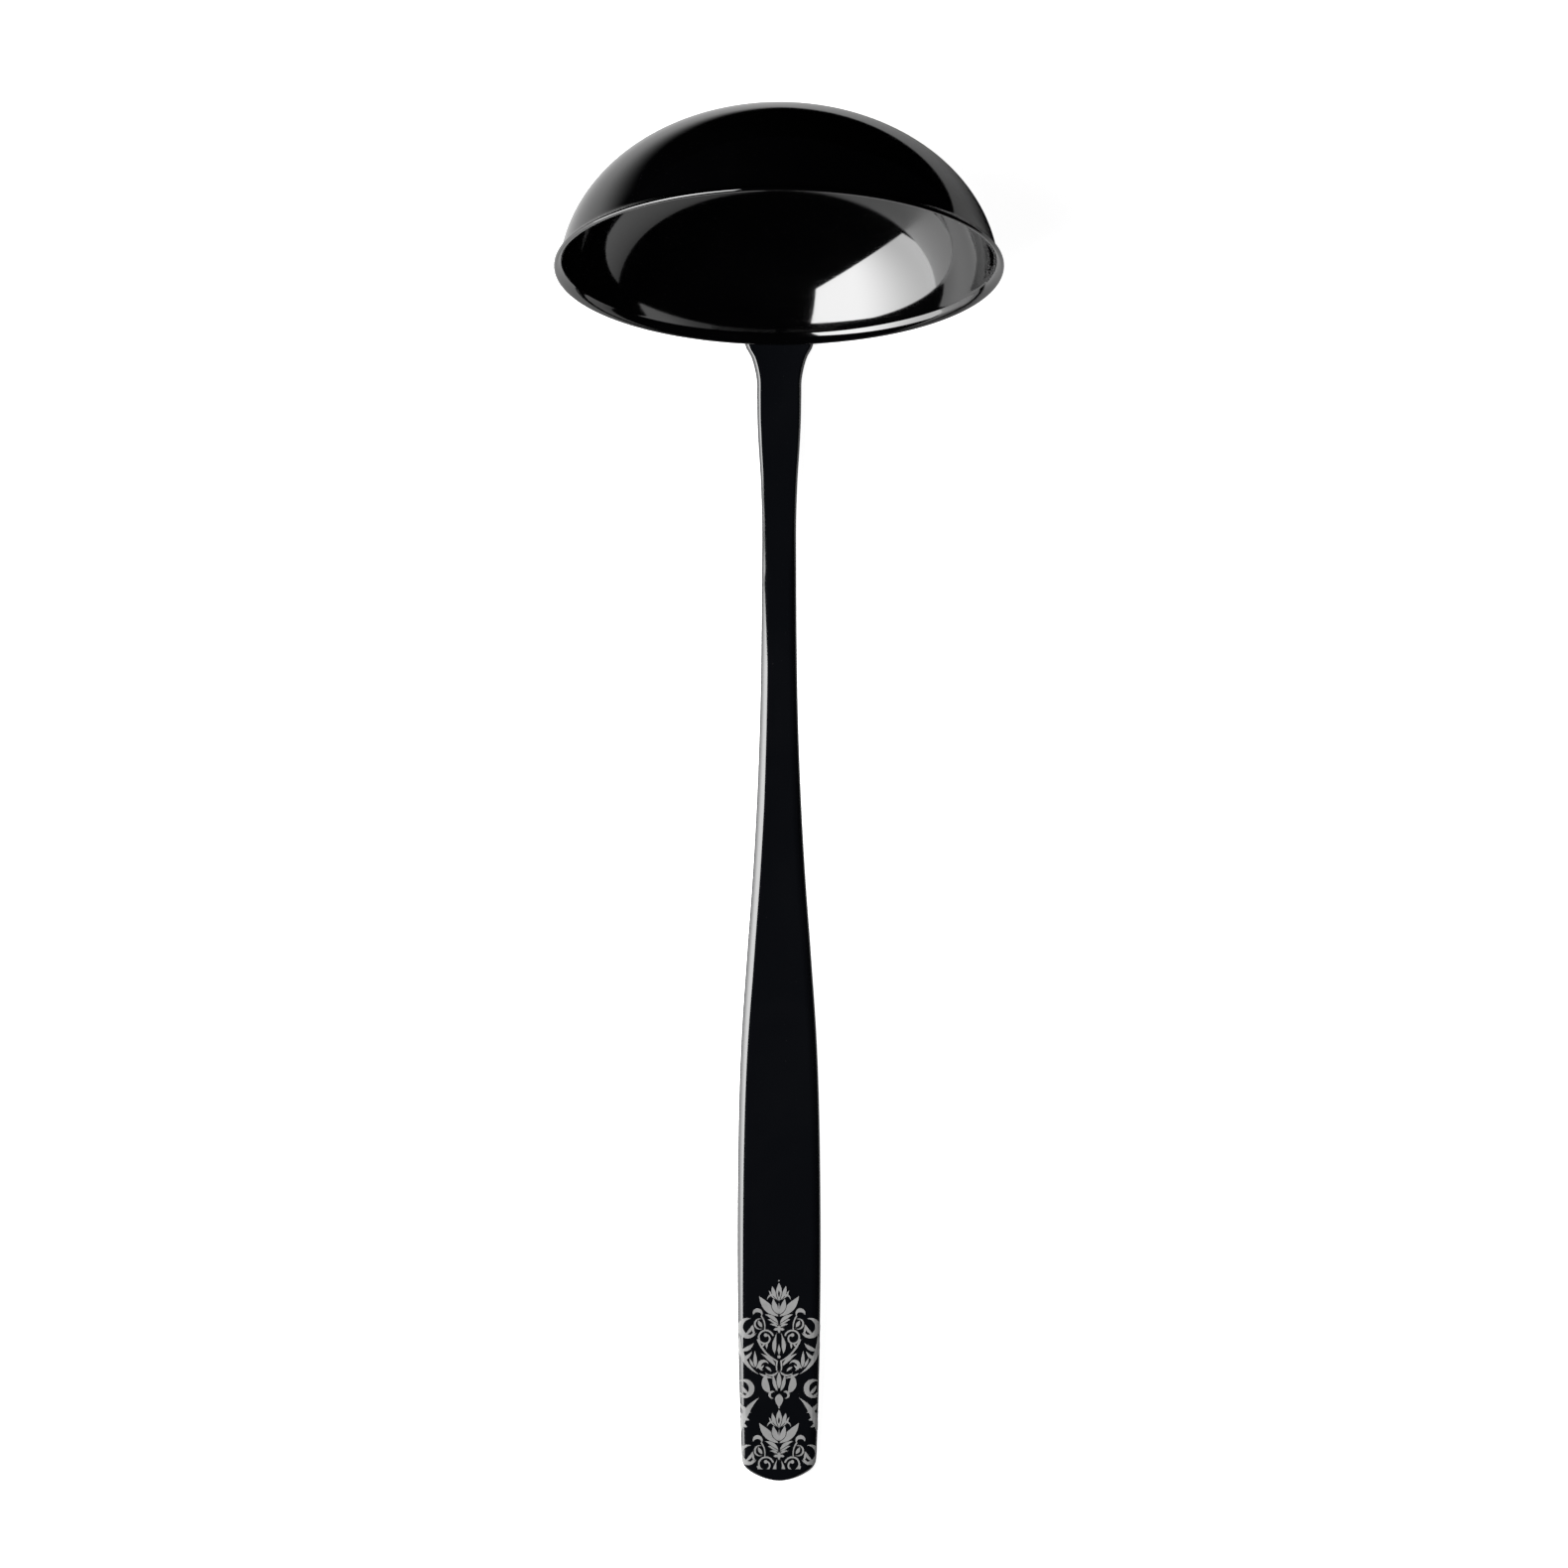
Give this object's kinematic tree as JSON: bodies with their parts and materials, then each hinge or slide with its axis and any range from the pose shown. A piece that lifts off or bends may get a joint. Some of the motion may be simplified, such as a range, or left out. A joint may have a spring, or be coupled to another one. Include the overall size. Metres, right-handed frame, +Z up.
{
  "type": "soup ladle",
  "caption": "Long-handled soup ladle with a deep round bowl, a black coating and a silver-grey damask print on the flat end of its handle.",
  "frame": {"origin": "under the middle of the ladle, on the surface that it lies on, back down", "axes": "+Y from the handle's tip toward the bowl, +Z up, X across the handle"},
  "size_m": [0.097, 0.3004, 0.0967],
  "materials": {
    "black_coat": "high gloss black coating on polished steel",
    "seam": "satin black coating over the braze",
    "print": "matte silver-grey printed ink"
  },
  "bodies": {
    "root": {"bowl": "black_coat", "handle": "black_coat", "braze_seam": "seam", "upper_medallion": "print", "lower_medallion": "print", "left_scroll": "print", "right_scroll": "print"}
  },
  "joints": []
}
